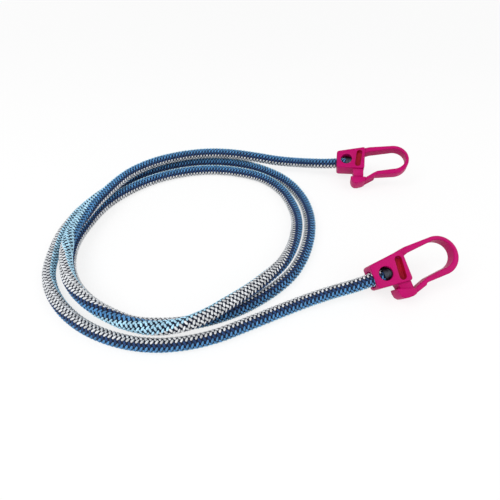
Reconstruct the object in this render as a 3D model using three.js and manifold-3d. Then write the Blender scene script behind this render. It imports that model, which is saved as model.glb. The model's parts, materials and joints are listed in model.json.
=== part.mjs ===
// Bungee cord: one length of braided elastic cord with a moulded snap hook crimped on each end.
// Millimetres, +Z up, lying on the plane z = 0. The origin is under the middle of the two hooks.
// Each hook is modelled in its own frame: x runs along the cord from the socket to the eye,
// y runs from the latch side to the top bar, and z runs through the hook's thickness.
import * as THREE from 'three';
import { mergeVertices } from 'three/addons/utils/BufferGeometryUtils.js';
import Module from 'manifold-3d';

const wasm = await Module();
wasm.setup();

// Clearances
const fitGap = 0.35;
const strandGap = 0.3;
const overrun = 1;
const weld = 0.0001;

// Counts of facets
const arcSteps = 21;
const cornerSteps = 3;
const roundSteps = 32;

// The cord: a braided sheath round a bundle of rubber strands
const cord = { diameter: 10, wall: 0.9, sides: 12, steps: 75, outerStrands: 6, strandSides: 5 };
const straightEnd = 13;
const looseEnd = 60;

// The ferrule crimped round the end of the cord
const ferrule = { wall: 0.7, length: 7, waist: 0.2, waistLength: 2.4, pastCord: 0.5 };

// The bore along the block: a flared mouth, a throat for the cord and a chamber for the ferrule
const bore = { flare: 1.25, flareLength: 3, shoulder: 1.5, back: 8.2, front: 4.2 };
const throatRadius = cord.diameter / 2 + fitGap;
const chamberRadius = throatRadius + ferrule.wall + fitGap;

// The socket block, with its walls round the chamber, which grows deeper towards its front
const block = {
  mouth: 12,
  frontAtTop: 15.6,
  frontAtBottom: 14.8,
  faceWall: 1.4,
  topWall: 3.6,
  topRise: 3.8,
  bottomWall: 1.6,
  bottomDrop: 1.8,
  corner: 2.5,
  chamfer: 1.3,
};
const blockThickness = 2 * (chamberRadius + block.faceWall);
const topAtMouth = chamberRadius + block.topWall;
const bottomAtMouth = chamberRadius + block.bottomWall;
const bottomAtFront = bottomAtMouth + block.bottomDrop;

// The round window over the chamber, and the long recess beside it on both faces
const porthole = { x: -2.6, y: 0.8, radius: 5.4 };
const recess = { topX: 10, topY: 7.4, bottomX: 8.4, bottomY: -5, width: 5.4, depth: 4.4 };

// The eye: a flat bar bent into a long loop, deepest along the arm
const eye = {
  thickness: 10,
  chamfer: 0.8,
  bendX: 42,
  innerY: 1.4,
  innerReach: 12,
  innerHalf: 11,
  crestDepth: 3,
  topDepth: 3.2,
  armDepth: 4.8,
  rootX: 8,
  rootY: 12.4,
  shoulderX: 20,
  shoulderY: 14.8,
  shoulderInnerY: 9.8,
};
const innerEdge = { y: eye.innerY, reach: eye.innerReach, half: eye.innerHalf };
const outerEdge = {
  y: eye.innerY + (eye.topDepth - eye.armDepth) / 2,
  reach: eye.innerReach + eye.crestDepth,
  half: eye.innerHalf + (eye.topDepth + eye.armDepth) / 2,
};

// The spring arm that closes the eye, down to its neck
const arm = {
  neckX: 27,
  neckY: -11.6,
  underX: 25.2,
  underY: -15.2,
};

// The nose below the block, as thick as the bar, with its back sloped so that the tab's lip swings clear
const nose = { backX: 3.3, tipX: 5, frontX: 14.05, tipY: -17.3 };

// The slope below the neck, and the tab at its end with the pocket that closes over the nose
const tab = {
  thickness: 14,
  dipX: 23.6,
  dipY: -12.7,
  valleyX: 15.2,
  valleyY: -15.8,
  stepX: 23.8,
  stepY: -16.8,
  rampX: 13.5,
  rampY: -19.9,
  bottomY: -20.7,
  bottomFront: 10.5,
  bottomBack: 6.4,
  heelX: 3.6,
  heelY: -20,
  cornerX: 1.8,
  cornerY: -18,
  backX: 1.2,
  backY: -15,
  lipX: 1.4,
  lipY: -12,
};
const thumbPad = { teeth: 5, depth: 0.8, width: 7.5, toothShare: 0.7 };

// The bend where the arm flexes, as an angle round the eye, and the arm's angles from there
const hinge = { roundEye: -40, armDirection: 220.5, armHalfAngle: 87.5, clearAngle: 5, openAngle: 14 };

// Where each hook lies on the plane: its place, its turn, how far it leans and lifts, and how far
// its tab is sprung away from the nose about the neck
const hookPlaces = {
  hook_a: { x: -21.2, y: 76.6, turn: -5, lean: 30, lift: 8, sprung: 13 },
  hook_b: { x: -21.1, y: -73.6, turn: 22.5, lean: 31.5, lift: 9.5, sprung: 0 },
};

// The route of the cord between the straight ends at the sockets, chosen by hand
const route = [
  [-71, 88, 11], [-94, 89.5, 12.5], [-118.5, 92, 15.5], [-142.5, 97, 16], [-168, 98, 16],
  [-195, 92, 16], [-220, 79.5, 16], [-240, 60, 16], [-254.5, 30, 16], [-263.5, 1, 16],
  [-268.5, -28, 16], [-264, -54.5, 16], [-253.5, -78, 16], [-238.5, -95, 16], [-220, -108, 15.5],
  [-202, -115.5, 14], [-184, -119, 14], [-166, -117.5, 15.5], [-151, -110.5, 16], [-136, -99.5, 16],
  [-122, -88, 15.5], [-109, -74.5, 14], [-96, -57, 11], [-86, -33.5, 8], [-80, -6, 6],
  [-81, 18, 5.1], [-90.5, 46.5, 5.1], [-109, 68, 5.1], [-136, 79.5, 5.1], [-165.5, 83, 5.1],
  [-194.5, 77.5, 5.1], [-220.5, 65, 5.1], [-241.5, 46.5, 5.1], [-257, 24.5, 5.1], [-265.5, -0.5, 5.1],
  [-269.5, -28, 5.1], [-265.5, -53, 5.1], [-255.5, -72.5, 5.1], [-240, -89, 5.1], [-221.5, -101, 5.1],
  [-202, -109, 5.1], [-183.5, -110.5, 5.1], [-166, -109, 5.1], [-149, -105, 5.1], [-131.5, -98, 5.1],
  [-116.5, -89, 5.1], [-101.5, -77, 5.1], [-88, -62, 5.1], [-77.5, -42, 5.1], [-70, -16.5, 5.1],
  [-68, 10, 5.1], [-73, 37.5, 5.1], [-86.5, 63.5, 5.1], [-110, 84, 5.1], [-138.5, 96, 5.1],
  [-169, 98.5, 5.1], [-198.5, 93, 5.1], [-225, 80, 5.1], [-247.5, 63, 5.1], [-265, 39.5, 5.1],
  [-277, 13.5, 5.1], [-283, -14, 5.1], [-282, -44, 5.1], [-276.5, -67.5, 5.1], [-261.5, -90.5, 5.1],
  [-241.5, -108, 5.1], [-220.5, -119, 5.1], [-199.5, -125, 5.1], [-181, -126.5, 5.1], [-162.5, -124.5, 5.1],
  [-144.5, -119.5, 5.1], [-124.5, -110.5, 5.1], [-101.5, -99.5, 5.1], [-79.5, -90, 6], [-61.5, -84.5, 8.5],
];

const degrees = THREE.MathUtils.degToRad;

// A closed geometry as a solid that can be joined and cut, and back again
function solid(geometry) {
  geometry.deleteAttribute('normal');
  geometry.deleteAttribute('uv');
  const merged = mergeVertices(geometry, weld);
  const vertProperties = merged.attributes.position.array;
  const triVerts = new Uint32Array(merged.index.array);
  return new wasm.Manifold(new wasm.Mesh({ numProp: 3, vertProperties, triVerts }));
}

function geometryOf(manifold) {
  const { vertProperties, triVerts } = manifold.getMesh();
  const geometry = new THREE.BufferGeometry();
  geometry.setAttribute('position', new THREE.BufferAttribute(vertProperties, 3));
  geometry.setIndex(new THREE.BufferAttribute(triVerts, 1));
  return geometry;
}

// A plate of an outline, centred on z = 0, with its edges chamfered
function plate(shape, thickness, chamfer) {
  const geometry = new THREE.ExtrudeGeometry(shape, {
    depth: thickness - 2 * chamfer,
    bevelEnabled: chamfer > 0,
    bevelThickness: chamfer,
    bevelSize: chamfer,
    bevelOffset: -chamfer,
    bevelSegments: 1,
    curveSegments: cornerSteps,
  });
  return solid(geometry.translate(0, 0, chamfer - thickness / 2));
}

// A solid turned round the x axis, its profile given from low x to high x
function turned(profile) {
  const points = profile.map(([x, radius]) => new THREE.Vector2(radius, x));
  return solid(new THREE.LatheGeometry(points, roundSteps).rotateZ(-Math.PI / 2));
}

function disc(x, y, radius, thickness) {
  const shape = new THREE.Shape().absarc(x, y, radius, 0, 2 * Math.PI);
  const geometry = new THREE.ExtrudeGeometry(shape, {
    depth: thickness,
    bevelEnabled: false,
    curveSegments: roundSteps / 2,
  });
  return solid(geometry.translate(0, 0, -thickness / 2));
}

function outline(points) {
  return new THREE.Shape(points.map(([x, y]) => new THREE.Vector2(x, y)));
}

// A closed outline with its corners rounded
function roundedOutline(points, radius) {
  const shape = new THREE.Shape();
  points.forEach((point, i) => {
    const corner = new THREE.Vector2(...point);
    const [before, after] = [points.at(i - 1), points[(i + 1) % points.length]].map((next) =>
      new THREE.Vector2(...next).sub(corner).setLength(radius).add(corner));
    if (i === 0) {
      shape.moveTo(before.x, before.y);
    } else {
      shape.lineTo(before.x, before.y);
    }
    shape.quadraticCurveTo(corner.x, corner.y, after.x, after.y);
  });
  return shape;
}

function onEdge(edge, angle) {
  return [eye.bendX + edge.reach * Math.cos(degrees(angle)), edge.y + edge.half * Math.sin(degrees(angle))];
}

function alongEdge(edge, from, to) {
  return Array.from({ length: arcSteps + 1 }, (_, i) => onEdge(edge, from + ((to - from) * i) / arcSteps));
}

// The place where the arm flexes: the middle of the bar, part of the way round the bend
const bendOuter = onEdge(outerEdge, hinge.roundEye);
const bendInner = onEdge(innerEdge, hinge.roundEye);
const hingeX = (bendOuter[0] + bendInner[0]) / 2;
const hingeY = (bendOuter[1] + bendInner[1]) / 2;
const knuckleRadius = Math.hypot(bendOuter[0] - bendInner[0], bendOuter[1] - bendInner[1]) / 2;
const hookReach = eye.bendX + outerEdge.reach + block.mouth;

// Points of the slope and the tab, turned about the neck by as much as the tab is sprung open
function sprungOpen(sprung, points) {
  const neck = new THREE.Vector2(arm.neckX, (arm.neckY + arm.underY) / 2);
  return points.map(([x, y]) => new THREE.Vector2(x, y).rotateAround(neck, degrees(sprung)).toArray());
}

// The eye's bar with the arm and the slope down to the tab, before the arm is cut free
function eyeBar(sprung) {
  return plate(outline([
    [eye.rootX, eye.rootY],
    [eye.shoulderX, eye.shoulderY],
    ...alongEdge(outerEdge, 90, -90),
    [arm.underX, arm.underY],
    ...sprungOpen(sprung, [
      [tab.stepX, tab.stepY],
      [tab.rampX, tab.rampY],
      [tab.bottomFront, tab.bottomY],
      [tab.valleyX, tab.valleyY],
      [tab.dipX, tab.dipY],
    ]),
    [arm.neckX, arm.neckY],
    ...alongEdge(innerEdge, -90, 90),
    [eye.shoulderX, eye.shoulderInnerY],
    [block.frontAtTop - block.corner, eye.shoulderInnerY - block.corner],
  ]), eye.thickness, eye.chamfer);
}

// All that lies on the arm's side of the bend, widened by an angle on each side
function armSide(inside, outside) {
  const near = degrees(hinge.armDirection - hinge.armHalfAngle - inside);
  const far = degrees(hinge.armDirection + hinge.armHalfAngle + outside);
  const farX = hingeX + hookReach * Math.cos(far);
  return plate(outline([
    [hingeX, hingeY],
    [hingeX + (eye.innerY - hingeY) / Math.tan(near), eye.innerY],
    [-hookReach, eye.innerY],
    [-hookReach, -hookReach],
    [farX, -hookReach],
    [farX, hingeY + hookReach * Math.sin(far)],
  ]), hookReach, 0);
}

// The outline of the nose, or with a gap round it, of the tab's pocket
function noseOutline(gap) {
  const topY = block.corner - bottomAtFront;
  return [
    [nose.tipX - gap, nose.tipY - gap],
    [nose.frontX + gap, nose.tipY - gap],
    [nose.frontX + gap, topY],
    [nose.backX - gap, topY],
  ];
}

// The block with its nose, which the tab's pocket closes over
function socketBlock() {
  const side = roundedOutline([
    [-block.mouth, -bottomAtMouth],
    [block.frontAtBottom, -bottomAtFront],
    [block.frontAtTop, topAtMouth + block.topRise],
    [-block.mouth, topAtMouth],
  ], block.corner);
  const tongue = plate(outline(noseOutline(0)), eye.thickness, eye.chamfer);
  return plate(side, blockThickness, block.chamfer).add(tongue);
}

function cordBore() {
  return turned([
    [-block.mouth - overrun, 0],
    [-block.mouth - overrun, throatRadius + bore.flare],
    [-block.mouth, throatRadius + bore.flare],
    [-block.mouth + bore.flareLength, throatRadius],
    [-bore.back - bore.shoulder, throatRadius],
    [-bore.back, chamberRadius],
    [bore.front, chamberRadius],
    [bore.front, 0],
  ]);
}

// The round window reaches from the upper face into the bore
function portholeCut() {
  const depth = blockThickness / 2 + overrun;
  return disc(porthole.x, porthole.y, porthole.radius, depth).translate([0, 0, depth / 2]);
}

function recessCut(face) {
  const top = new THREE.Vector2(recess.topX, recess.topY);
  const bottom = new THREE.Vector2(recess.bottomX, recess.bottomY);
  const along = top.clone().sub(bottom).angle();
  const radius = recess.width / 2;
  const shape = new THREE.Shape();
  shape.absarc(top.x, top.y, radius, along - Math.PI / 2, along + Math.PI / 2);
  shape.absarc(bottom.x, bottom.y, radius, along + Math.PI / 2, along + 3 * Math.PI / 2);
  const depth = recess.depth + overrun;
  const geometry = new THREE.ExtrudeGeometry(shape, {
    depth,
    bevelEnabled: false,
    curveSegments: arcSteps / 2,
  });
  const middle = face * (blockThickness / 2 + overrun - depth / 2);
  return solid(geometry.translate(0, 0, middle - depth / 2));
}

function hookFrame() {
  const seat = disc(hingeX, hingeY, knuckleRadius + fitGap, hookReach);
  const fixedBar = eyeBar(0).subtract(armSide(hinge.clearAngle, hinge.clearAngle + hinge.openAngle));
  return socketBlock()
    .add(fixedBar.subtract(seat))
    .subtract(cordBore())
    .subtract(portholeCut())
    .subtract(recessCut(1))
    .subtract(recessCut(-1));
}

function tabPlate(sprung) {
  return plate(outline(sprungOpen(sprung, [
    [tab.valleyX, tab.valleyY],
    [tab.rampX, tab.rampY],
    [tab.bottomFront, tab.bottomY],
    [tab.bottomBack, tab.bottomY],
    [tab.heelX, tab.heelY],
    [tab.cornerX, tab.cornerY],
    [tab.backX, tab.backY],
    [tab.lipX, tab.lipY],
  ])), tab.thickness, eye.chamfer);
}

// Grooves across the slope under the arm, where the thumb pushes
function thumbGrooves(sprung) {
  const [start, end] = sprungOpen(sprung, [[tab.stepX, tab.stepY], [tab.rampX, tab.rampY]]).map((point) =>
    new THREE.Vector2(...point));
  const slope = end.sub(start);
  const pitch = slope.length() / thumbPad.teeth;
  const angle = slope.angle();
  return Array.from({ length: thumbPad.teeth }, (_, i) => {
    const middle = start.clone().addScaledVector(slope, (i + 1 / 2) / thumbPad.teeth);
    const half = (pitch * thumbPad.toothShare) / 2;
    const groove = outline([
      [-half, 0],
      [0, -thumbPad.depth],
      [half, 0],
      [half, overrun],
      [-half, overrun],
    ]);
    const geometry = new THREE.ExtrudeGeometry(groove, { depth: thumbPad.width, bevelEnabled: false });
    geometry.translate(0, 0, -thumbPad.width / 2).rotateZ(angle);
    return solid(geometry.translate(middle.x, middle.y, 0));
  });
}

function hookLatch(sprung) {
  const knuckle = disc(hingeX, hingeY, knuckleRadius, eye.thickness - 2 * eye.chamfer);
  const bar = eyeBar(sprung).intersect(armSide(0, 0));
  const pocket = plate(outline(sprungOpen(sprung, noseOutline(fitGap))), eye.thickness + fitGap + fitGap, 0);
  const whole = bar.add(knuckle).add(tabPlate(sprung)).subtract(pocket);
  return thumbGrooves(sprung).reduce((latch, groove) => latch.subtract(groove), whole);
}

// The ferrule is a ring with a waist where the crimping tool pressed it
function crimpFerrule() {
  const outside = throatRadius + ferrule.wall;
  const front = bore.front - fitGap;
  const middle = front - ferrule.length / 2;
  return turned([
    [front - ferrule.length, throatRadius],
    [front - ferrule.length, outside],
    [middle - ferrule.waistLength / 2, outside],
    [middle, outside - ferrule.waist],
    [middle + ferrule.waistLength / 2, outside],
    [front, outside],
    [front, throatRadius],
    [front - ferrule.length, throatRadius],
  ]);
}

// Finishes
const moulded = { color: '#c41a69', roughness: 0.38, metalness: 0 };
const mouldedArm = { color: '#cf1f70', roughness: 0.38, metalness: 0 };
const crimpedSteel = { color: '#4b4d55', roughness: 0.45, metalness: 1 };
const braid = { color: '#2f5f9e', roughness: 0.7, metalness: 0 };
const rubber = { color: '#d9d3c4', roughness: 0.85, metalness: 0 };

function piece(name, geometry, finish) {
  const mesh = new THREE.Mesh(geometry, new THREE.MeshStandardMaterial(finish));
  mesh.name = name;
  return mesh;
}

// A hook is leant over on its side and set down on its lowest corner
function hook(name, place) {
  const group = new THREE.Group();
  group.add(piece(`${name}_frame`, geometryOf(hookFrame()), moulded));
  group.add(piece(`${name}_latch`, geometryOf(hookLatch(place.sprung)), mouldedArm));
  group.add(piece(`${name}_ferrule`, geometryOf(crimpFerrule()), crimpedSteel));
  group.rotation.order = 'ZXY';
  group.rotation.set(degrees(place.lean), degrees(-place.lift), degrees(place.turn));
  group.position.set(place.x, place.y, 0);
  group.position.z = -new THREE.Box3().setFromObject(group, true).min.z;
  group.updateMatrixWorld();
  return group;
}

const part = new THREE.Group();
const hooks = Object.entries(hookPlaces).map(([name, place]) => hook(name, place));
part.add(...hooks);

// The cord's path: straight in each socket, and along the route between them
const cordEndX = bore.front - fitGap - ferrule.pastCord;
const straightXs = [cordEndX, -block.mouth, -block.mouth - straightEnd];
const [leaving, entering] = hooks.map((place) =>
  straightXs.map((x) => place.localToWorld(new THREE.Vector3(x, 0, 0))));
const path = new THREE.CatmullRomCurve3([
  ...leaving,
  ...route.map((point) => new THREE.Vector3(...point)),
  ...entering.reverse(),
]);
path.arcLengthDivisions = cord.steps * arcSteps;

function ring(radius, sides, x = 0, y = 0) {
  return Array.from({ length: sides }, (_, i) => {
    const angle = (2 * Math.PI * i) / sides;
    return new THREE.Vector2(x + radius * Math.cos(angle), y + radius * Math.sin(angle));
  });
}

function alongCord(shape) {
  return new THREE.ExtrudeGeometry(shape, { steps: cord.steps, extrudePath: path });
}

const boreOfSheath = cord.diameter / 2 - cord.wall;
const sheathSection = new THREE.Shape(ring(cord.diameter / 2, cord.sides));
sheathSection.holes.push(new THREE.Path(ring(boreOfSheath, cord.sides)));
part.add(piece('cord_sheath', alongCord(sheathSection), braid));

// One strand in the middle and the others round it, as thick as the sheath's bore allows
const strandRoom = boreOfSheath * Math.cos(Math.PI / cord.sides) - 2 * strandGap;
const strandRadius = strandRoom / 3;
const strandOrbit = 2 * strandRadius + strandGap;
const strandPlaces = [new THREE.Vector2(), ...ring(strandOrbit, cord.outerStrands)];
strandPlaces.forEach((place, i) => {
  const section = new THREE.Shape(ring(strandRadius, cord.strandSides, place.x, place.y));
  part.add(piece(`core_strand_${i + 1}`, alongCord(section), rubber));
});

// The least distance between stretches of the cord that cross or lie side by side
function leastGapToItself() {
  const rings = path.getSpacedPoints(cord.steps);
  const points = rings.slice(1).flatMap((to, i) =>
    Array.from({ length: cornerSteps }, (_, k) => rings[i].clone().lerp(to, k / cornerSteps)));
  const apart = Math.ceil((looseEnd / path.getLength()) * points.length);
  let least = Infinity;
  points.forEach((point, i) => {
    points.slice(i + apart).forEach((other) => {
      least = Math.min(least, point.distanceTo(other) - cord.diameter);
    });
  });
  return least;
}
console.log(`cord ${path.getLength().toFixed(0)} mm, gap to itself ${leastGapToItself().toFixed(2)} mm`);

export default part;
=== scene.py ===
"""A bungee cord dressed for rendering: a braided elastic cord with a moulded snap hook on each end."""

import json
import math

import bmesh
import bpy
import numpy as np
from mathutils import Matrix, Vector


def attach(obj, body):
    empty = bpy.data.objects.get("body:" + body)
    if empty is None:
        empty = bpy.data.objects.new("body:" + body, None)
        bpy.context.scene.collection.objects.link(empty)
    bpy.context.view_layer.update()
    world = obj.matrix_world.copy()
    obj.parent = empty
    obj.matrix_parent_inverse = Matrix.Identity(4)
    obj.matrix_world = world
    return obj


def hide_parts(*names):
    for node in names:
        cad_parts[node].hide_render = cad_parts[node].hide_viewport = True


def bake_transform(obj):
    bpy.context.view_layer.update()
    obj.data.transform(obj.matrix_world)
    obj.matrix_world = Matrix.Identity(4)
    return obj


bl_info = {
    "name": "Bungee Cord",
    "version": (1, 0, 0),
    "blender": (4, 5, 0),
    "location": "View3D > Sidebar > Bungee Cord",
    "description": "Builds a braided bungee cord with two snap hooks around its packed model",
    "category": "Add Mesh",
}

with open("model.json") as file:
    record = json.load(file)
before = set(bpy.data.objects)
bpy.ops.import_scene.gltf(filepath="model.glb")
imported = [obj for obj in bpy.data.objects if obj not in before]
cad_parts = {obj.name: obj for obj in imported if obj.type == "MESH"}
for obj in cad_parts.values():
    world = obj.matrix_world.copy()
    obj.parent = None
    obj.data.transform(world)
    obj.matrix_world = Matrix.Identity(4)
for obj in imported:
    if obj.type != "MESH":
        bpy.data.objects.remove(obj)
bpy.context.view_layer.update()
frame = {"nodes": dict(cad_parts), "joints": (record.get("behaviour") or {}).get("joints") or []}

MM = 0.001
HOOKS = ("hook_a", "hook_b")
ROOT = "cord_and_hooks"
ARMS = {"hook_a": "arm_a", "hook_b": "arm_b"}

# The route of the cord between the straight ends at the sockets, in metres. Its points were listed from the
# photo, set in space through the camera below and rounded to half a millimetre, and the CAD has the same.
ROUTE = [
    (-0.071, 0.088, 0.011), (-0.094, 0.0895, 0.0125), (-0.1185, 0.092, 0.0155), (-0.1425, 0.097, 0.016),
    (-0.168, 0.098, 0.016), (-0.195, 0.092, 0.016), (-0.22, 0.0795, 0.016), (-0.24, 0.06, 0.016),
    (-0.2545, 0.03, 0.016), (-0.2635, 0.001, 0.016), (-0.2685, -0.028, 0.016), (-0.264, -0.0545, 0.016),
    (-0.2535, -0.078, 0.016), (-0.2385, -0.095, 0.016), (-0.22, -0.108, 0.0155),
    (-0.202, -0.1155, 0.014), (-0.184, -0.119, 0.014), (-0.166, -0.1175, 0.0155),
    (-0.151, -0.1105, 0.016), (-0.136, -0.0995, 0.016), (-0.122, -0.088, 0.0155),
    (-0.109, -0.0745, 0.014), (-0.096, -0.057, 0.011), (-0.086, -0.0335, 0.008), (-0.08, -0.006, 0.006),
    (-0.081, 0.018, 0.0051), (-0.0905, 0.0465, 0.0051), (-0.109, 0.068, 0.0051),
    (-0.136, 0.0795, 0.0051), (-0.1655, 0.083, 0.0051), (-0.1945, 0.0775, 0.0051),
    (-0.2205, 0.065, 0.0051), (-0.2415, 0.0465, 0.0051), (-0.257, 0.0245, 0.0051),
    (-0.2655, -0.0005, 0.0051), (-0.2695, -0.028, 0.0051), (-0.2655, -0.053, 0.0051),
    (-0.2555, -0.0725, 0.0051), (-0.24, -0.089, 0.0051), (-0.2215, -0.101, 0.0051),
    (-0.202, -0.109, 0.0051), (-0.1835, -0.1105, 0.0051), (-0.166, -0.109, 0.0051),
    (-0.149, -0.105, 0.0051), (-0.1315, -0.098, 0.0051), (-0.1165, -0.089, 0.0051),
    (-0.1015, -0.077, 0.0051), (-0.088, -0.062, 0.0051), (-0.0775, -0.042, 0.0051),
    (-0.07, -0.0165, 0.0051), (-0.068, 0.01, 0.0051), (-0.073, 0.0375, 0.0051),
    (-0.0865, 0.0635, 0.0051), (-0.11, 0.084, 0.0051), (-0.1385, 0.096, 0.0051),
    (-0.169, 0.0985, 0.0051), (-0.1985, 0.093, 0.0051), (-0.225, 0.08, 0.0051),
    (-0.2475, 0.063, 0.0051), (-0.265, 0.0395, 0.0051), (-0.277, 0.0135, 0.0051),
    (-0.283, -0.014, 0.0051), (-0.282, -0.044, 0.0051), (-0.2765, -0.0675, 0.0051),
    (-0.2615, -0.0905, 0.0051), (-0.2415, -0.108, 0.0051), (-0.2205, -0.119, 0.0051),
    (-0.1995, -0.125, 0.0051), (-0.181, -0.1265, 0.0051), (-0.1625, -0.1245, 0.0051),
    (-0.1445, -0.1195, 0.0051), (-0.1245, -0.1105, 0.0051), (-0.1015, -0.0995, 0.0051),
    (-0.0795, -0.09, 0.006), (-0.0615, -0.0845, 0.0085),
]

# Along a hook's x axis: where the cord ends inside it, how far back its socket's mouth is, and how far the
# cord runs straight outside the mouth
CORD_END = 3.35 * MM
SOCKET_MOUTH = 12 * MM
STRAIGHT_END = 13 * MM

# How each hook lies, in degrees: its turn about the vertical, its lean, its lift and how far its tab
# is sprung
HOOK_PLACES = {
    "hook_a": {"turn": -5, "lean": 30, "lift": 8, "sprung": 13},
    "hook_b": {"turn": 22.5, "lean": 31.5, "lift": 9.5, "sprung": 0},
}

# The colour bands round the cord, in columns of yarn: the first column and how many
BANDS = {"grey": (0, 4), "navy": (4, 1), "blue": (5, 2), "light": (7, 5)}

# How far the bands have turned as they are seen from in front and above: millimetres along, and degrees
BAND_TURNS = [
    (0, -20), (160, -22), (240, -32), (290, -60), (330, -130), (355, -250), (415, -375), (450, -480),
    (490, -630), (545, -665), (580, -710), (620, -735), (660, -745), (780, -745), (880, -750),
    (930, -775), (980, -790), (1050, -745), (1230, -745), (1330, -755), (1480, -765), (1500, -790),
    (1549, -860), (1575, -930), (1600, -960), (1640, -1000), (1690, -1075), (1740, -1090),
    (1932, -1110),
]

# What is added to each of those turns, in degrees
BAND_START = -207
IN_FRONT_AND_ABOVE = Vector((0, -1, 1))

# The braided cord
DIAMETER = 10 * MM
COLUMNS = 12
PITCH = 3.2 * MM
YARN_LENGTH = 3.5 * MM
YARN_WIDTH = 1.95 * MM
YARN_HEIGHT = 0.9 * MM
SLANT = math.radians(60)
SHEATH_SIDES = 32
SHEATH_STEP = 1.6 * MM
SHEATH_WALL = 0.7 * MM

# The rubber core: its outer strands lie round the middle one, at a distance in strand diameters
STRAND_DIAMETER = 2.2 * MM
OUTER_STRANDS = 6
STRAND_SPACING = 1.12
STRAND_SIDES = 8
STRAND_STEP = 4 * MM

# Sizes of the patterns in the materials. The mould's grain and the yarn's fibres are really under a tenth of
# a millimetre and too fine to show, so they are drawn coarser.
FLOW_MARK = 50 / 3 * MM
MOULD_GRAIN = 0.6 * MM
FIBRE = 0.5 * MM
DUST = 10 / 9 * MM
RUBBED_SPOT = 2 * MM

# The camera, the lamps and the floor
SENSOR_WIDTH = 36
LENS = 27.36
CAMERA_PLACE = (-0.1215, -0.2608, 0.226)
CAMERA_TILT = 45.38
LAMP_SIZE = 0.9
LAMP_AIM = Vector((-0.1, 0, 0))
LAMPS = [("key lamp", "key_power", (-0.7, -0.5, 1.1)), ("fill lamp", "fill_power", (0.7, -0.4, 0.9))]
FLOOR_DROP = 0.0003


# Numbers and colours

def linear(colour):
    """An sRGB hex colour as linear red, green, blue and alpha."""
    channels = [int(colour[i:i + 2], 16) / 255 for i in (1, 3, 5)]
    return tuple(c / 12.92 if c <= 0.04045 else ((c + 0.055) / 1.055) ** 2.4 for c in channels) + (1.0,)


def joint_place(hook):
    """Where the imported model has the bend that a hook's arm flexes at."""
    for joint in frame["joints"]:
        if joint["child"] == ARMS[hook]:
            return Vector(joint["pos_m"])
    raise RuntimeError(f"no joint moves the arm of {hook}")


# The hook's outline, in millimetres in its own frame, and the radii of its rounded edges, in metres

BEND_X = 42
INNER_EDGE = {"y": 1.4, "reach": 12, "half": 11}
OUTER_EDGE = {"y": 0.6, "reach": 15, "half": 15}
BEND_ANGLE = -40
ARC_STEPS = 56
NECK = Vector((27, -13.4))
NOSE = {"back": 3.3, "tip": 5, "front": 14.05, "low": -17.3, "high": -7.3}
NOSE_GAP = 0.35
NOSE_EDGE = 0.6 * MM

# The socket block with its bore, chamber, window and recesses
BLOCK_OUTLINE = [(-12, -8), (14.8, -9.8), (15.6, 13.8), (-12, 10)]
BLOCK_CORNER = 2.5
BLOCK_THICKNESS = 15.6
BORE = [(-13, 6.6), (-12, 6.6), (-9, 5.35), (4.2, 5.35)]
CHAMBER = [(-8.2, 6.4), (4.2, 6.4)]
WINDOW = {"x": -2.6, "y": 0.8, "radius": 5.4}
WINDOW_DEPTH = 8.8
RECESS = {"top": (10, 7.4), "bottom": (8.4, -5), "radius": 2.7}
RECESS_DEPTH = 5.4
RECESS_MIDDLE = 6.1

# The bar of the eye, with its slope under the neck, and the tab
BAR_THICKNESS = 10
BAR_EDGE = 0.9 * MM
TOP_OUTSIDE = [(8, 12.4), (20, 14.8)]
TOP_INSIDE = [(20, 9.8), (13.1, 7.3)]
UNDER_NECK = (25.2, -15.2)
OVER_NECK = (27, -11.6)
STEP, RAMP, BAR_END, VALLEY, DIP = (23.8, -16.8), (13.5, -19.9), (11, -20.2), (15.2, -15.8), (23.6, -12.7)
TAB_OUTLINE = [
    (15.4, -16.1), RAMP, (10.5, -20.7), (6.4, -20.7), (3.6, -20), (1.8, -18), (1.2, -15), (1.4, -12),
]
TAB_THICKNESS = 14
TAB_EDGE = 0.8 * MM


def on_edge(edge, angle):
    """The point at an angle round the bend, on its inner or outer edge."""
    turn = math.radians(angle)
    return Vector((BEND_X + edge["reach"] * math.cos(turn), edge["y"] + edge["half"] * math.sin(turn)))


def along_edge(edge, start, end):
    """Points round the bend, from one angle to another."""
    return [on_edge(edge, start + (end - start) * i / ARC_STEPS) for i in range(ARC_STEPS + 1)]


def sprung_open(hook, points):
    """Points of the slope and the tab, turned about the arm's neck by as much as the tab is sprung open."""
    turn = Matrix.Rotation(math.radians(HOOK_PLACES[hook]["sprung"]), 2)
    return [NECK + turn @ (Vector(point) - NECK) for point in points]


def nose_outline(gap):
    """The outline of the nose, or with a gap round it, of the tab's pocket."""
    low = NOSE["low"] - gap
    back, front = NOSE["back"] - gap, NOSE["front"] + gap
    return [(NOSE["tip"] - gap, low), (front, low), (front, NOSE["high"]), (back, NOSE["high"])]


def bend_middle():
    """The middle of the bar at the bend, in the hook's own frame."""
    return (on_edge(OUTER_EDGE, BEND_ANGLE) + on_edge(INNER_EDGE, BEND_ANGLE)).to_3d() / 2 * MM


def hook_matrix(hook):
    """From the hook's frame (x along the cord, y towards the top bar, z through it) to the object's."""
    place = HOOK_PLACES[hook]
    rotation = (
        Matrix.Rotation(math.radians(place["turn"]), 3, "Z")
        @ Matrix.Rotation(math.radians(place["lean"]), 3, "X")
        @ Matrix.Rotation(math.radians(-place["lift"]), 3, "Y")
    )
    return Matrix.Translation(joint_place(hook) - rotation @ bend_middle()) @ rotation.to_4x4()


# The cord's centreline

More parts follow.
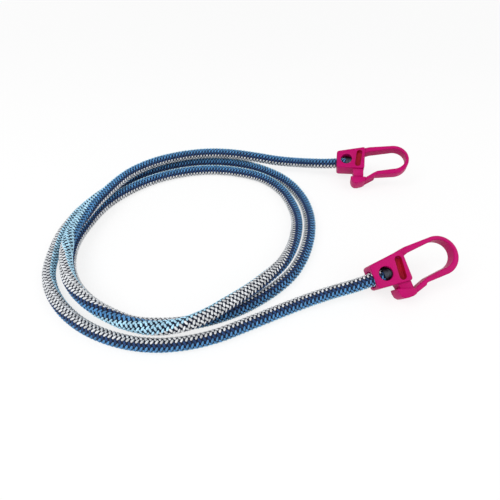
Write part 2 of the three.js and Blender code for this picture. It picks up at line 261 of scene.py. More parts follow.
def centreline(step, samples=40):
    """Points a step apart on the smooth curve through the sockets and the route, and its length."""
    ends = [CORD_END, -SOCKET_MOUTH, -SOCKET_MOUTH - STRAIGHT_END]
    leaving, entering = [[hook_matrix(hook) @ Vector((x, 0, 0)) for x in ends] for hook in HOOKS]
    knots = np.array([*leaving, *ROUTE, *entering[::-1]])
    before, after = 2 * knots[0] - knots[1], 2 * knots[-1] - knots[-2]
    padded = np.vstack([before, knots, after])
    share = np.linspace(0, 1, samples, endpoint=False)[:, None]
    stretches = []
    for p0, p1, p2, p3 in zip(padded, padded[1:], padded[2:], padded[3:]):
        d0, d1, d2 = (math.sqrt(np.linalg.norm(b - a)) for a, b in ((p0, p1), (p1, p2), (p2, p3)))
        leave = ((p1 - p0) / d0 - (p2 - p0) / (d0 + d1) + (p2 - p1) / d1) * d1
        arrive = ((p2 - p1) / d1 - (p3 - p1) / (d1 + d2) + (p3 - p2) / d2) * d1
        cubic = 2 * (p1 - p2) + leave + arrive
        square = 3 * (p2 - p1) - 2 * leave - arrive
        stretches.append(p1 + leave * share + square * share**2 + cubic * share**3)
    dense = np.vstack([*stretches, knots[-1:]])
    along = np.concatenate([[0], np.cumsum(np.linalg.norm(np.diff(dense, axis=0), axis=1))])
    count = round(along[-1] / step)
    places = np.linspace(0, along[-1], count + 1)
    return np.column_stack([np.interp(places, along, dense[:, axis]) for axis in range(3)]), along[-1]


# Node trees

def add(tree, kind, inputs=None, **settings):
    """Add a node with its settings, and link or set its inputs. A node as an input is its first output."""
    node = tree.nodes.new(kind)
    for name, value in settings.items():
        setattr(node, name, value)
    for key, value in (inputs or {}).items():
        if isinstance(value, bpy.types.Node):
            value = value.outputs[0]
        if isinstance(value, bpy.types.NodeSocket):
            tree.links.new(value, node.inputs[key])
        else:
            node.inputs[key].default_value = value
    return node


def new_material(name):
    """An empty material with its shader and output, and the shader's node."""
    material = bpy.data.materials.new(name)
    material.use_nodes = True
    tree = material.node_tree
    tree.nodes.clear()
    shader = add(tree, "ShaderNodeBsdfPrincipled")
    add(tree, "ShaderNodeOutputMaterial", {"Surface": shader.outputs["BSDF"]})
    return material, tree, shader


# Sizes and colours that a user might change

class CordProperties(bpy.types.PropertyGroup):
    """Sizes and colours of the braided cord."""

    diameter: bpy.props.FloatProperty(
        name="Diameter", description="Outside diameter of the braided cord", default=DIAMETER, unit="LENGTH")
    columns: bpy.props.IntProperty(
        name="Columns", description="Columns of yarn floats round the cord, half of them slanting each way",
        default=COLUMNS)
    pitch: bpy.props.FloatProperty(
        name="Pitch", description="Distance along the cord from one yarn float to the next", default=PITCH,
        unit="LENGTH")
    yarn_length: bpy.props.FloatProperty(
        name="Yarn length", description="Visible length of one yarn float", default=YARN_LENGTH,
        unit="LENGTH")
    yarn_width: bpy.props.FloatProperty(
        name="Yarn width", description="Width of one yarn float", default=YARN_WIDTH, unit="LENGTH")
    yarn_height: bpy.props.FloatProperty(
        name="Yarn height", description="Height of one yarn float", default=YARN_HEIGHT, unit="LENGTH")
    slant: bpy.props.FloatProperty(
        name="Slant", description="Angle of a yarn float to the cord's line", default=SLANT, unit="ROTATION")
    strand_diameter: bpy.props.FloatProperty(
        name="Strand diameter", description="Diameter of a rubber strand of the core",
        default=STRAND_DIAMETER, unit="LENGTH")
    grey: bpy.props.FloatVectorProperty(
        name="Grey", description="Colour of the grey yarn", subtype="COLOR", size=4,
        default=linear("#dadde0"))
    navy: bpy.props.FloatVectorProperty(
        name="Navy", description="Colour of the navy yarn", subtype="COLOR", size=4,
        default=linear("#27426f"))
    blue: bpy.props.FloatVectorProperty(
        name="Blue", description="Colour of the mid-blue yarn", subtype="COLOR", size=4,
        default=linear("#528bbe"))
    light: bpy.props.FloatVectorProperty(
        name="Light blue", description="Colour of the light blue yarn", subtype="COLOR", size=4,
        default=linear("#b2e0f7"))
    # Partly the yarn under the floats and partly painted shade: it is near-black so that the gaps between the
    # floats look shaded
    ground: bpy.props.FloatVectorProperty(
        name="Ground", description="Colour of the yarn seen between the floats", subtype="COLOR", size=4,
        default=linear("#0e1830"))


class HookProperties(bpy.types.PropertyGroup):
    """Edges and colours of the moulded hooks."""

    edge: bpy.props.FloatProperty(
        name="Edge radius", description="Radius of the moulded outer edges", default=1.1 * MM, unit="LENGTH")
    fine_edge: bpy.props.FloatProperty(
        name="Fine edge radius", description="Radius of the edges of cuts and recesses", default=0.3 * MM,
        unit="LENGTH")
    colour: bpy.props.FloatVectorProperty(
        name="Colour", description="Colour of the moulded plastic", subtype="COLOR", size=4,
        default=linear("#bb0468"))
    mark_colour: bpy.props.FloatVectorProperty(
        name="Flow marks", description="Colour of the faint flow marks in the plastic", subtype="COLOR",
        size=4, default=linear("#b1045f"))
    # Painted shade: the recess colours are a darker, redder copy of the plastic's colours. They stand in for
    # the shade and red bounce light inside the recesses.
    recess_shade_colour: bpy.props.FloatVectorProperty(
        name="Recess colour", description="Colour of the plastic inside the recesses", subtype="COLOR",
        size=4, default=linear("#b3122c"))
    recess_shade_mark_colour: bpy.props.FloatVectorProperty(
        name="Recess flow marks", description="Colour of the flow marks inside the recesses",
        subtype="COLOR", size=4, default=linear("#8f0c2c"))


class StageProperties(bpy.types.PropertyGroup):
    """Floor and light."""

    floor_size: bpy.props.FloatProperty(
        name="Floor size", description="Width of the floor", default=8, unit="LENGTH")
    key_power: bpy.props.FloatProperty(
        name="Key power", description="Power of the main lamp", default=9, unit="POWER")
    fill_power: bpy.props.FloatProperty(
        name="Fill power", description="Power of the fill lamp", default=4, unit="POWER")
    ambient: bpy.props.FloatProperty(
        name="Ambient", description="Strength of the even studio light", default=0.55, subtype="FACTOR")


# Materials

def moulded_polypropylene(name, colour, mark_colour):
    """Injection-moulded polypropylene: an even satin skin with faint flow marks and a fine eroded grain."""
    material, tree, shader = new_material(name)
    place = add(tree, "ShaderNodeTexCoord").outputs["Object"]
    flow = add(tree, "ShaderNodeTexNoise", {"Vector": place, "Scale": 1 / FLOW_MARK, "Detail": 3.0})
    tint = add(tree, "ShaderNodeMapRange", {"Value": flow.outputs["Fac"], "From Min": 0.35, "From Max": 0.7})
    mix = add(tree, "ShaderNodeMix", {
        "Factor": tint.outputs["Result"], "A": tuple(mark_colour), "B": tuple(colour),
    }, data_type="RGBA")
    grain = add(tree, "ShaderNodeTexNoise", {"Vector": place, "Scale": 1 / MOULD_GRAIN, "Detail": 2.0})
    bump = add(tree, "ShaderNodeBump", {
        "Height": grain.outputs["Fac"], "Strength": 0.25, "Distance": 0.05 * MM,
    })
    tree.links.new(mix.outputs["Result"], shader.inputs["Base Color"])
    tree.links.new(bump.outputs["Normal"], shader.inputs["Normal"])
    shader.inputs["Roughness"].default_value = 0.42
    shader.inputs["Specular IOR Level"].default_value = 0.1
    return material


def yarn_material(name, colour):
    """Textured polyester yarn: matt and fibrous, with a soft sheen at grazing angles."""
    material, tree, shader = new_material(name)
    place = add(tree, "ShaderNodeTexCoord")
    shade = add(tree, "ShaderNodeAttribute", attribute_name="shade")
    fibre = add(tree, "ShaderNodeTexNoise", {
        "Vector": place.outputs["Object"], "Scale": 1 / FIBRE, "Detail": 2.0,
    })
    together = add(tree, "ShaderNodeMath", {
        0: shade.outputs["Fac"], 1: fibre.outputs["Fac"],
    }, operation="ADD")
    level = add(tree, "ShaderNodeMapRange", {
        "Value": together.outputs["Value"], "From Min": 0.3, "From Max": 1.7, "To Min": 0.7, "To Max": 1.25,
    })
    tinted = add(tree, "ShaderNodeHueSaturation", {
        "Color": tuple(colour), "Value": level.outputs["Result"],
    })
    bump = add(tree, "ShaderNodeBump", {
        "Height": fibre.outputs["Fac"], "Strength": 0.5, "Distance": 0.08 * MM,
    })
    tree.links.new(tinted.outputs["Color"], shader.inputs["Base Color"])
    tree.links.new(bump.outputs["Normal"], shader.inputs["Normal"])
    shader.inputs["Roughness"].default_value = 0.7
    shader.inputs["Specular IOR Level"].default_value = 0.15
    shader.inputs["Sheen Weight"].default_value = 0.08
    return material


def rubber_material():
    """Extruded natural rubber: pale, matt and dusted with talc."""
    material, tree, shader = new_material("talced natural rubber")
    place = add(tree, "ShaderNodeTexCoord")
    dust = add(tree, "ShaderNodeTexNoise", {
        "Vector": place.outputs["Object"], "Scale": 1 / DUST, "Detail": 3.0,
    })
    colour = add(tree, "ShaderNodeMix", {
        "Factor": dust.outputs["Fac"], "A": linear("#c9bfa6"), "B": linear("#ebe6da"),
    }, data_type="RGBA")
    tree.links.new(colour.outputs["Result"], shader.inputs["Base Color"])
    shader.inputs["Roughness"].default_value = 0.85
    return material


def crimped_steel():
    """Zinc-plated mild steel pressed by a crimping tool: dull grey with bright rubbed spots."""
    material, tree, shader = new_material("crimped steel")
    place = add(tree, "ShaderNodeTexCoord")
    wear = add(tree, "ShaderNodeTexNoise", {
        "Vector": place.outputs["Object"], "Scale": 1 / RUBBED_SPOT, "Detail": 3.0,
    })
    rough = add(tree, "ShaderNodeMapRange", {"Value": wear.outputs["Fac"], "To Min": 0.25, "To Max": 0.6})
    tree.links.new(rough.outputs["Result"], shader.inputs["Roughness"])
    shader.inputs["Base Color"].default_value = linear("#3a3c44")
    shader.inputs["Metallic"].default_value = 1.0
    return material


# Geometry Nodes

def new_tree(name, inputs):
    """A geometry node tree with named inputs, given as name, kind of socket and default."""
    tree = bpy.data.node_groups.new(name, "GeometryNodeTree")
    tree.interface.new_socket("Geometry", in_out="INPUT", socket_type="NodeSocketGeometry")
    tree.interface.new_socket("Geometry", in_out="OUTPUT", socket_type="NodeSocketGeometry")
    for label, kind, default in inputs:
        socket = tree.interface.new_socket(label, in_out="INPUT", socket_type=kind)
        if default is not None:
            socket.default_value = default
    return tree, add(tree, "NodeGroupInput").outputs


def close_tree(tree, geometry, material):
    """End a tree: everything real, with its material."""
    real = add(tree, "GeometryNodeRealizeInstances", {"Geometry": geometry})
    dressed = add(tree, "GeometryNodeSetMaterial", {
        "Geometry": real.outputs["Geometry"], "Material": material,
    })
    add(tree, "NodeGroupOutput", {"Geometry": dressed.outputs["Geometry"]})


def even_curve(tree, curve, step):
    """The route with points a step apart, and frames that keep their side level."""
    spaced = add(tree, "GeometryNodeResampleCurve", {"Curve": curve, "Length": step}, mode="LENGTH")
    level = add(tree, "GeometryNodeSetCurveNormal", {"Curve": spaced.outputs["Curve"]}, mode="Z_UP")
    return level.outputs["Curve"]


def tube_tree():
    """A tube that follows the route, with an offset from its middle for a strand."""
    tree, given = new_tree("Tube along a route", [
        ("Diameter", "NodeSocketFloat", DIAMETER), ("Sides", "NodeSocketInt", SHEATH_SIDES),
        ("Step", "NodeSocketFloat", SHEATH_STEP), ("Offset", "NodeSocketVector", None),
        ("Capped", "NodeSocketBool", False), ("Material", "NodeSocketMaterial", None),
    ])
    path = even_curve(tree, given["Geometry"], given["Step"])
    radius = add(tree, "ShaderNodeMath", {0: given["Diameter"], 1: 0.5}, operation="MULTIPLY")
    section = add(tree, "GeometryNodeCurvePrimitiveCircle", {
        "Resolution": given["Sides"], "Radius": radius.outputs["Value"],
    }, mode="RADIUS")
    moved = add(tree, "GeometryNodeTransform", {
        "Geometry": section.outputs["Curve"], "Translation": given["Offset"],
    })
    swept = add(tree, "GeometryNodeCurveToMesh", {
        "Curve": path, "Profile Curve": moved.outputs["Geometry"], "Fill Caps": given["Capped"],
    })
    smooth = add(tree, "GeometryNodeSetShadeSmooth", {"Geometry": swept.outputs["Mesh"]})
    close_tree(tree, smooth.outputs["Geometry"], given["Material"])
    return tree


def braid_tree():
    """The yarn floats of one colour band, laid in columns that slant to and fro round the cord."""
    tree, given = new_tree("Braided yarn floats", [
        ("Diameter", "NodeSocketFloat", DIAMETER), ("Columns", "NodeSocketInt", COLUMNS),
        ("Pitch", "NodeSocketFloat", PITCH), ("Yarn Length", "NodeSocketFloat", YARN_LENGTH),
        ("Yarn Width", "NodeSocketFloat", YARN_WIDTH), ("Yarn Height", "NodeSocketFloat", YARN_HEIGHT),
        ("Slant", "NodeSocketFloat", SLANT), ("First Column", "NodeSocketInt", 0),
        ("Band Columns", "NodeSocketInt", COLUMNS), ("Seed", "NodeSocketInt", 0),
        ("Material", "NodeSocketMaterial", None),
    ])
    path = even_curve(tree, given["Geometry"], given["Pitch"])
    tangent = add(tree, "GeometryNodeInputTangent")
    place = add(tree, "GeometryNodeInputPosition")
    kept = add(tree, "GeometryNodeCaptureAttribute", {"Geometry": path}, domain="POINT")
    kept.capture_items.new("VECTOR", "Tangent")
    kept.capture_items.new("VECTOR", "Middle")
    tree.links.new(tangent.outputs["Tangent"], kept.inputs["Tangent"])
    tree.links.new(place.outputs["Position"], kept.inputs["Middle"])
    cord_radius = add(tree, "ShaderNodeMath", {0: given["Diameter"], 1: 0.5}, operation="MULTIPLY")
    half_height = add(tree, "ShaderNodeMath", {0: given["Yarn Height"], 1: 0.5}, operation="MULTIPLY")
    seat = add(tree, "ShaderNodeMath", {0: cord_radius, 1: half_height}, operation="SUBTRACT")
    section = add(tree, "GeometryNodeCurvePrimitiveCircle", {
        "Resolution": given["Columns"], "Radius": seat,
    }, mode="RADIUS")
    grid = add(tree, "GeometryNodeCurveToMesh", {
        "Curve": kept.outputs["Geometry"], "Profile Curve": section,
    })
    column = add(tree, "ShaderNodeMath", {
        0: add(tree, "GeometryNodeInputIndex"), 1: given["Columns"],
    }, operation="FLOORED_MODULO")
    odd = add(tree, "ShaderNodeMath", {0: column, 1: 2.0}, operation="FLOORED_MODULO")
    past_first = add(tree, "ShaderNodeMath", {0: column, 1: given["First Column"]}, operation="SUBTRACT")
    band_column = add(tree, "ShaderNodeMath", {
        0: past_first, 1: given["Columns"],
    }, operation="FLOORED_MODULO")
    chosen = add(tree, "FunctionNodeCompare", {
        0: band_column, 1: given["Band Columns"],
    }, data_type="FLOAT", operation="LESS_THAN")
    from_middle = add(tree, "ShaderNodeVectorMath", {
        0: place, 1: kept.outputs["Middle"],
    }, operation="SUBTRACT")
    outward = add(tree, "ShaderNodeVectorMath", {0: from_middle}, operation="NORMALIZE")
    side = add(tree, "ShaderNodeVectorMath", {
        0: outward, 1: kept.outputs["Tangent"],
    }, operation="CROSS_PRODUCT")
    sine = add(tree, "ShaderNodeMath", {0: given["Slant"]}, operation="SINE")
    cosine = add(tree, "ShaderNodeMath", {0: given["Slant"]}, operation="COSINE")
    twice_odd = add(tree, "ShaderNodeMath", {0: odd, 1: 2.0}, operation="MULTIPLY")
    sign = add(tree, "ShaderNodeMath", {0: twice_odd, 1: 1.0}, operation="SUBTRACT")
    across = add(tree, "ShaderNodeMath", {0: sine, 1: sign}, operation="MULTIPLY")
    forward = add(tree, "ShaderNodeVectorMath", {
        0: kept.outputs["Tangent"], "Scale": cosine,
    }, operation="SCALE")
    sideways = add(tree, "ShaderNodeVectorMath", {0: side, "Scale": across}, operation="SCALE")
    heading = add(tree, "ShaderNodeVectorMath", {0: forward, 1: sideways}, operation="ADD")
    upright = add(tree, "FunctionNodeAlignRotationToVector", {"Vector": outward}, axis="Z")
    laid = add(tree, "FunctionNodeAlignRotationToVector", {
        "Rotation": upright.outputs["Rotation"], "Vector": heading,
    }, axis="X", pivot_axis="Z")
    half_odd = add(tree, "ShaderNodeMath", {0: odd, 1: 0.5}, operation="MULTIPLY")
    step = add(tree, "ShaderNodeMath", {0: half_odd, 1: given["Pitch"]}, operation="MULTIPLY")
    shift = add(tree, "ShaderNodeVectorMath", {
        0: kept.outputs["Tangent"], "Scale": step,
    }, operation="SCALE")
    spread = add(tree, "GeometryNodeSetPosition", {"Geometry": grid, "Offset": shift})
    ball = add(tree, "GeometryNodeMeshUVSphere", {"Segments": 6, "Rings": 4, "Radius": 0.5})
    half_turn = (0.0, math.pi / 2, 0.0)
    lying = add(tree, "GeometryNodeTransform", {"Geometry": ball.outputs["Mesh"], "Rotation": half_turn})
    size = add(tree, "ShaderNodeCombineXYZ", {
        "X": given["Yarn Length"], "Y": given["Yarn Width"], "Z": given["Yarn Height"],
    })
    placed = add(tree, "GeometryNodeInstanceOnPoints", {
        "Points": spread.outputs["Geometry"], "Selection": chosen, "Instance": lying.outputs["Geometry"],
        "Rotation": laid.outputs["Rotation"], "Scale": size.outputs["Vector"],
    })
    chance = add(tree, "FunctionNodeRandomValue", {"Seed": given["Seed"]}, data_type="FLOAT")
    shaded = add(tree, "GeometryNodeStoreNamedAttribute", {
        "Geometry": placed.outputs["Instances"], "Name": "shade", "Value": chance.outputs[1],
    }, data_type="FLOAT", domain="INSTANCE")
    smooth = add(tree, "GeometryNodeSetShadeSmooth", {"Geometry": shaded.outputs["Geometry"]})
    close_tree(tree, smooth.outputs["Geometry"], given["Material"])
    return tree


def route_curve():
    """The cord's centreline as a curve, whose tilt carries the turn of the coloured bands."""
    points, _ = centreline(MM)
    curve = bpy.data.curves.new("cord route", "CURVE")
    curve.dimensions = "3D"
    spline = curve.splines.new("POLY")
    spline.points.add(len(points) - 1)
    spline.points.foreach_set("co", np.column_stack([points, np.ones(len(points))]).ravel())
    along, turns = zip(*BAND_TURNS)
    seen = np.interp(np.linspace(0, along[-1], len(points)), along, turns)
    ways = np.gradient(points, axis=0)
    right = np.cross(ways, (0, 0, 1))
    up = np.cross(right, ways)
    facing = np.degrees(np.arctan2(
        right @ IN_FRONT_AND_ABOVE / np.linalg.norm(right, axis=1),
        up @ IN_FRONT_AND_ABOVE / np.linalg.norm(up, axis=1)))
    spline.points.foreach_set("tilt", np.radians(seen + facing + BAND_START))
    return bpy.data.objects.new("cord route", curve)


def from_tree(name, tree, source, **values):
    """A piece whose mesh is what a tree makes from the source object, with the modifier gone."""
    modifier = source.modifiers.new(tree.name, "NODES")
    modifier.node_group = tree
    for item in tree.interface.items_tree:
        key = item.name.lower().replace(" ", "_")
        if item.in_out == "INPUT" and key in values:
            modifier[item.identifier] = values[key]
    bpy.context.view_layer.update()
    graph = bpy.context.evaluated_depsgraph_get()
    mesh = bpy.data.meshes.new_from_object(source.evaluated_get(graph), depsgraph=graph)
    source.modifiers.remove(modifier)
    mesh.name = name
    piece = bpy.data.objects.new(name, mesh)
    bpy.context.scene.collection.objects.link(piece)
    return piece


class BUNGEE_OT_cord(bpy.types.Operator):
    """Build the braided sheath, its yarn and the rubber core along the cord's route"""

    bl_idname = "bungee.cord"
    bl_label = "Braided cord"

    def execute(self, context):
        cord = context.scene.bungee_cord
        source = route_curve()
        context.scene.collection.objects.link(source)
        tube = tube_tree()
        sheath_diameter = cord.diameter - cord.yarn_height
        # The sheath under the floats takes the near-black ground colour, which is partly painted shade in the
        # gaps between them
        sheath = from_tree(
            "cord_sheath_ground", tube, source, diameter=sheath_diameter, sides=SHEATH_SIDES,
            step=SHEATH_STEP, capped=False, material=yarn_material("ground yarn", cord.ground))
        braid = braid_tree()
        yarns = [
            from_tree(
                f"cord_yarn_{name}", braid, source, diameter=cord.diameter, columns=cord.columns,
                pitch=cord.pitch, yarn_length=cord.yarn_length, yarn_width=cord.yarn_width,
                yarn_height=cord.yarn_height, slant=cord.slant, first_column=first, band_columns=count,
                seed=first, material=yarn_material(f"{name} polyester yarn", getattr(cord, name)))
            for name, (first, count) in BANDS.items()
        ]
        rubber = rubber_material()
        spacing = STRAND_SPACING * cord.strand_diameter
        turns = [2 * math.pi * i / OUTER_STRANDS for i in range(OUTER_STRANDS)]
        offsets = [(0, 0, 0), *((spacing * math.cos(turn), spacing * math.sin(turn), 0) for turn in turns)]
        strands = []
        for i, offset in enumerate(offsets, 1):
            strand = from_tree(
                f"cord_core_strand_{i}", tube, source, diameter=cord.strand_diameter, sides=STRAND_SIDES,
                step=STRAND_STEP, offset=offset, capped=True, material=rubber)
            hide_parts(f"core_strand_{i}")
            strands.append(strand)
        bpy.data.objects.remove(source)
        wall = sheath.modifiers.new("wall", "SOLIDIFY")
        wall.thickness = SHEATH_WALL
        wall.offset = -1
        for piece in (sheath, *yarns, *strands):
            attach(piece, ROOT)
        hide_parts("cord_sheath")
        return {"FINISHED"}


# The moulded hooks

def rounded(points, radius, steps=6):
    """An outline with its corners rounded."""
    outline = []
    for i, point in enumerate(points):
        corner = Vector(point)
        ends = []
        for other in (points[i - 1], points[(i + 1) % len(points)]):
            way = Vector(other) - corner
            ends.append(corner + way.normalized() * radius)
        for k in range(steps + 1):
            share = k / steps
            outline.append((1 - share) ** 2 * ends[0] + 2 * share * (1 - share) * corner + share**2 * ends[1])
    return outline


def solid(name, build, material):
    """A piece in the scene from a built mesh, with its faces turned outward."""
    bmesh.ops.recalc_face_normals(build, faces=build.faces)
    mesh = bpy.data.meshes.new(name)
    build.to_mesh(mesh)
    build.free()
    mesh.materials.append(material)
    piece = bpy.data.objects.new(name, mesh)
    bpy.context.scene.collection.objects.link(piece)
    return piece


def round_edges(piece, radius, segments, sharpest):
    """Round the edges of a piece that are sharper than an angle in degrees."""
    bevel = piece.modifiers.new("edge", "BEVEL")
    bevel.width = radius
    bevel.segments = segments
    bevel.limit_method = "ANGLE"
    bevel.angle_limit = math.radians(sharpest)
    settle(piece)


def plate(name, outline, thickness, edge=0.0, middle=0.0, material=None):
    """A plate of an outline with its edges rounded, in the hook's own frame."""
    build = bmesh.new()
    low, high = (middle - thickness / 2) * MM, (middle + thickness / 2) * MM
    base = build.faces.new([build.verts.new((x * MM, y * MM, low)) for x, y in outline])
    grown = bmesh.ops.extrude_face_region(build, geom=[base])["geom"]
    top = [part for part in grown if isinstance(part, bmesh.types.BMVert)]
    bmesh.ops.translate(build, verts=top, vec=(0, 0, high - low))
    piece = solid(name, build, material)
    if edge:
        round_edges(piece, edge, segments=4, sharpest=40)
    return piece


def settle(piece):
    """Turn a piece's modifiers into its plain mesh."""
    bpy.context.view_layer.update()
    graph = bpy.context.evaluated_depsgraph_get()
    mesh = bpy.data.meshes.new_from_object(piece.evaluated_get(graph), depsgraph=graph)
    piece.modifiers.clear()
    old = piece.data
    piece.data = mesh
    bpy.data.meshes.remove(old)


def combine(piece, others, operation):
    """Join pieces to a piece or cut them from it, and remove them."""
    for other in others:
        step = piece.modifiers.new(operation, "BOOLEAN")
        step.operation = operation
        step.solver = "EXACT"
        step.material_mode = "TRANSFER"
        step.object = other
    settle(piece)
    for other in others:
        bpy.data.objects.remove(other)


def turned(name, profile, material, sides=48):
    """A solid turned round the hook's own x axis, from x and radius pairs in millimetres."""
    build = bmesh.new()
    ways = [(math.cos(turn), math.sin(turn)) for turn in (2 * math.pi * i / sides for i in range(sides))]
    rings = [
        [build.verts.new((x * MM, radius * across * MM, radius * up * MM)) for across, up in ways]
        for x, radius in profile
    ]
    for low, high in zip(rings, rings[1:]):
        for i in range(sides):
            j = (i + 1) % sides
            build.faces.new([low[i], low[j], high[j], high[i]])
    build.faces.new(rings[0])
    build.faces.new(rings[-1])
    return solid(name, build, material)


def capsule(top, bottom, radius, steps=16):
    """The outline of a long hole with round ends."""
    top, bottom = Vector(top), Vector(bottom)
    along = math.atan2(*(top - bottom).yx)
    outline = []
    for end, start in ((top, along - math.pi / 2), (bottom, along + math.pi / 2)):
        for turn in (start + math.pi * i / steps for i in range(steps + 1)):
            outline.append(end + radius * Vector((math.cos(turn), math.sin(turn))))
    return outline


def circle(x, y, radius, steps=48):
    """The outline of a round hole."""
    turns = [2 * math.pi * i / steps for i in range(steps)]
    return [(x + radius * math.cos(turn), y + radius * math.sin(turn)) for turn in turns]


def socket_block(hook, settings, skin, inside):
    """The block that holds the cord's end, with its nose, bore, window and recesses."""
    outline = rounded(BLOCK_OUTLINE, BLOCK_CORNER)
    block = plate(f"{hook}_socket", outline, BLOCK_THICKNESS, settings.edge, material=skin)
    nose = plate("nose", nose_outline(0), BAR_THICKNESS, NOSE_EDGE, material=skin)
    combine(block, [nose], "UNION")
    bore, chamber = turned("bore", BORE, skin), turned("chamber", CHAMBER, skin)
    window = plate("window", circle(**WINDOW), WINDOW_DEPTH, middle=WINDOW_DEPTH / 2, material=skin)
    # The recesses are cut with the darker red material, so their walls and floors carry painted shade
    recesses = [
        plate("recess", capsule(**RECESS), RECESS_DEPTH, middle=face * RECESS_MIDDLE, material=inside)
        for face in (1, -1)
    ]
    combine(block, [bore, chamber, window, *recesses], "DIFFERENCE")
    round_edges(block, settings.fine_edge, segments=2, sharpest=50)
    return block


def hook_eye(hook, settings, skin):
    """The bar bent into a loop, with its flexible arm and the tab that snaps over the nose."""
    step, ramp, *rest = sprung_open(hook, [STEP, RAMP, BAR_END, VALLEY, DIP])
    bar = plate(f"{hook}_eye", [
        *TOP_OUTSIDE, *along_edge(OUTER_EDGE, 90, -90), UNDER_NECK, step, ramp, *rest,
        OVER_NECK, *along_edge(INNER_EDGE, -90, 90), *TOP_INSIDE,
    ], BAR_THICKNESS, BAR_EDGE, material=skin)
    tab = plate("tab", sprung_open(hook, TAB_OUTLINE), TAB_THICKNESS, TAB_EDGE, material=skin)
    combine(bar, [tab], "UNION")
    pocket_outline = sprung_open(hook, nose_outline(NOSE_GAP))
    pocket = plate("pocket", pocket_outline, BAR_THICKNESS + 2 * NOSE_GAP, material=skin)
    combine(bar, [pocket, *thumb_grooves(step, ramp, skin)], "DIFFERENCE")
    round_edges(bar, settings.fine_edge, segments=2, sharpest=50)
    return bar


def thumb_grooves(start, end, skin, count=5, depth=0.8, width=7.5, half_share=0.35):
    """Grooves across the slope under the arm, where the thumb pushes."""
    pitch = (end - start) / count
    inward = Vector((pitch.y, -pitch.x)).normalized()
    half = half_share * pitch
    grooves = []
    for i in range(count):
        middle = start + (i + 0.5) * pitch
        grooves.append(plate("groove", [
            middle - half, middle + depth * inward, middle + half,
            middle + half - inward, middle - half - inward,
        ], width, material=skin))
    return grooves


def finish_hook_piece(piece, hook, sharp_angle=35):
    """Lay a piece where its hook lies, with smooth faces and sharp corners."""
    piece.data.transform(hook_matrix(hook))
    piece.data.shade_smooth()
    piece.data.set_sharp_from_angle(angle=math.radians(sharp_angle))


class BUNGEE_OT_hooks(bpy.types.Operator):
    """Build the moulded hooks: each socket block, and each eye with its arm and tab"""

    bl_idname = "bungee.hooks"
    bl_label = "Snap hooks"

    def execute(self, context):
        settings = context.scene.bungee_hooks
        skin = moulded_polypropylene("moulded polypropylene", settings.colour, settings.mark_colour)
        # Painted shade: this darker, redder copy of the moulded plastic goes inside the recesses in place of
        # their shade
        inside = moulded_polypropylene(
            "moulded polypropylene in the recess", settings.recess_shade_colour, settings.recess_shade_mark_colour)
        steel = crimped_steel()
        for hook in HOOKS:
            block = socket_block(hook, settings, skin, inside)
            finish_hook_piece(block, hook)
            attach(block, ROOT)
            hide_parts(f"{hook}_frame")
            eye = hook_eye(hook, settings, skin)
            finish_hook_piece(eye, hook)
            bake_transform(eye)
            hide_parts(f"{hook}_latch")
            ferrule = frame["nodes"][f"{hook}_ferrule"]
            ferrule.data.materials.clear()
            ferrule.data.materials.append(steel)
        return {"FINISHED"}


class BUNGEE_OT_stage(bpy.types.Operator):
    """Build the floor, the studio light and the camera"""

    bl_idname = "bungee.stage"
    bl_label = "Stage"

    def execute(self, context):
        stage = context.scene.bungee_stage
        scene = context.scene
        camera = bpy.data.objects.new("camera", bpy.data.cameras.new("camera"))
        camera.data.sensor_width = SENSOR_WIDTH
        camera.data.lens = LENS
        camera.location = CAMERA_PLACE
        camera.rotation_euler = (math.radians(CAMERA_TILT), 0, 0)
        scene.collection.objects.link(camera)
        scene.camera = camera
        half = stage.floor_size / 2
        mesh = bpy.data.meshes.new("floor")
        corners = [(-half, -half, 0), (half, -half, 0), (half, half, 0), (-half, half, 0)]
        mesh.from_pydata(corners, [], [(0, 1, 2, 3)])
        floor = bpy.data.objects.new("floor", mesh)
        floor.location = (0, 0, -FLOOR_DROP)
        scene.collection.objects.link(floor)
        floor.data.materials.append(floor_material())
        for name, power, place in LAMPS:
            lamp = bpy.data.objects.new(name, bpy.data.lights.new(name, "AREA"))
            lamp.data.energy = getattr(stage, power)
            lamp.data.size = LAMP_SIZE
            lamp.location = place
            aim = LAMP_AIM - Vector(place)
            lamp.rotation_euler = aim.to_track_quat("-Z", "Y").to_euler()
            scene.collection.objects.link(lamp)
        scene.world = studio_world(stage.ambient)
        scene.view_settings.view_transform = "Standard"
        return {"FINISHED"}


def seen_directly(tree):
    """1 where the camera, a mirror or glass looks, and 0 for the light on the object."""
    path = add(tree, "ShaderNodeLightPath")
    both = add(tree, "ShaderNodeMath", {
        0: path.outputs["Is Camera Ray"], 1: path.outputs["Is Glossy Ray"],
    }, operation="MAXIMUM")
    return add(tree, "ShaderNodeMath", {
        0: both.outputs["Value"], 1: path.outputs["Is Transmission Ray"],
    }, operation="MAXIMUM").outputs["Value"]


def studio_world(ambient):
    """An even white studio, at full strength where it is looked at and dimmer as a light."""
    world = bpy.data.worlds.new("studio")
    world.use_nodes = True
    tree = world.node_tree
    tree.nodes.clear()
    strength = add(tree, "ShaderNodeMapRange", {
        "Value": seen_directly(tree), "To Min": ambient, "To Max": 1.0,
    })
    light = add(tree, "ShaderNodeBackground", {"Color": (1, 1, 1, 1), "Strength": strength.outputs["Result"]})
    add(tree, "ShaderNodeOutputWorld", {"Surface": light.outputs["Background"]})
    return world


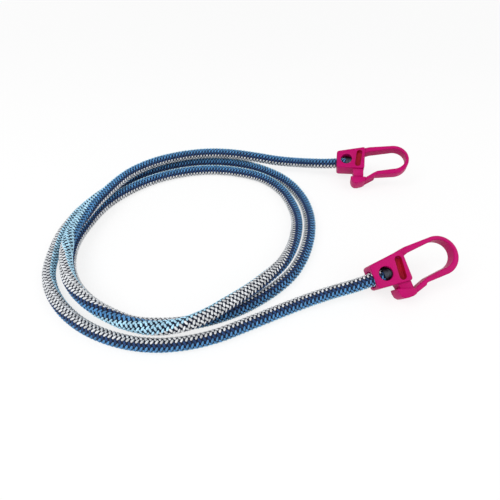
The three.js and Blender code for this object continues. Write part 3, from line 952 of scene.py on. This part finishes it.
def floor_material():
    """Matt white card: even and without gloss, lit from behind where it is looked at, and more so far out."""
    material, tree, shader = new_material("white card")
    shader.inputs["Base Color"].default_value = linear("#fafafa")
    shader.inputs["Roughness"].default_value = 0.9
    shader.inputs["Specular IOR Level"].default_value = 0.1
    place = add(tree, "ShaderNodeTexCoord").outputs["Object"]
    away = add(tree, "ShaderNodeVectorMath", {0: place}, operation="LENGTH")
    share = add(tree, "ShaderNodeMapRange", {
        "Value": away.outputs["Value"], "From Min": 0.5, "From Max": 1.8, "To Min": 0.8, "To Max": 1.0,
    })
    looked_at = add(tree, "ShaderNodeMath", {
        0: seen_directly(tree), 1: share.outputs["Result"],
    }, operation="MULTIPLY")
    glow = add(tree, "ShaderNodeEmission", {"Color": (1, 1, 1, 1), "Strength": 1.0})
    mixed = add(tree, "ShaderNodeMixShader", {
        0: looked_at.outputs["Value"], 1: shader.outputs["BSDF"], 2: glow.outputs["Emission"],
    })
    tree.links.new(mixed.outputs["Shader"], tree.nodes["Material Output"].inputs["Surface"])
    return material


class BUNGEE_PT_panel(bpy.types.Panel):
    """The pieces of the bungee cord, in the order that they are built"""

    bl_idname = "BUNGEE_PT_panel"
    bl_label = "Bungee Cord"
    bl_space_type = "VIEW_3D"
    bl_region_type = "UI"
    bl_category = "Bungee Cord"

    def draw(self, context):
        for operator in OPERATORS:
            self.layout.operator(operator.bl_idname)


OPERATORS = (BUNGEE_OT_stage, BUNGEE_OT_cord, BUNGEE_OT_hooks)
SETTINGS = {"bungee_cord": CordProperties, "bungee_hooks": HookProperties, "bungee_stage": StageProperties}


def register():
    for kind in (*SETTINGS.values(), *OPERATORS, BUNGEE_PT_panel):
        bpy.utils.register_class(kind)
    for name, kind in SETTINGS.items():
        setattr(bpy.types.Scene, name, bpy.props.PointerProperty(type=kind))


def unregister():
    for name in SETTINGS:
        delattr(bpy.types.Scene, name)
    for kind in (BUNGEE_PT_panel, *OPERATORS, *SETTINGS.values()):
        bpy.utils.unregister_class(kind)


def main():
    register()
    bpy.ops.bungee.stage()
    bpy.ops.bungee.cord()
    bpy.ops.bungee.hooks()


if __name__ == "__main__":
    main()
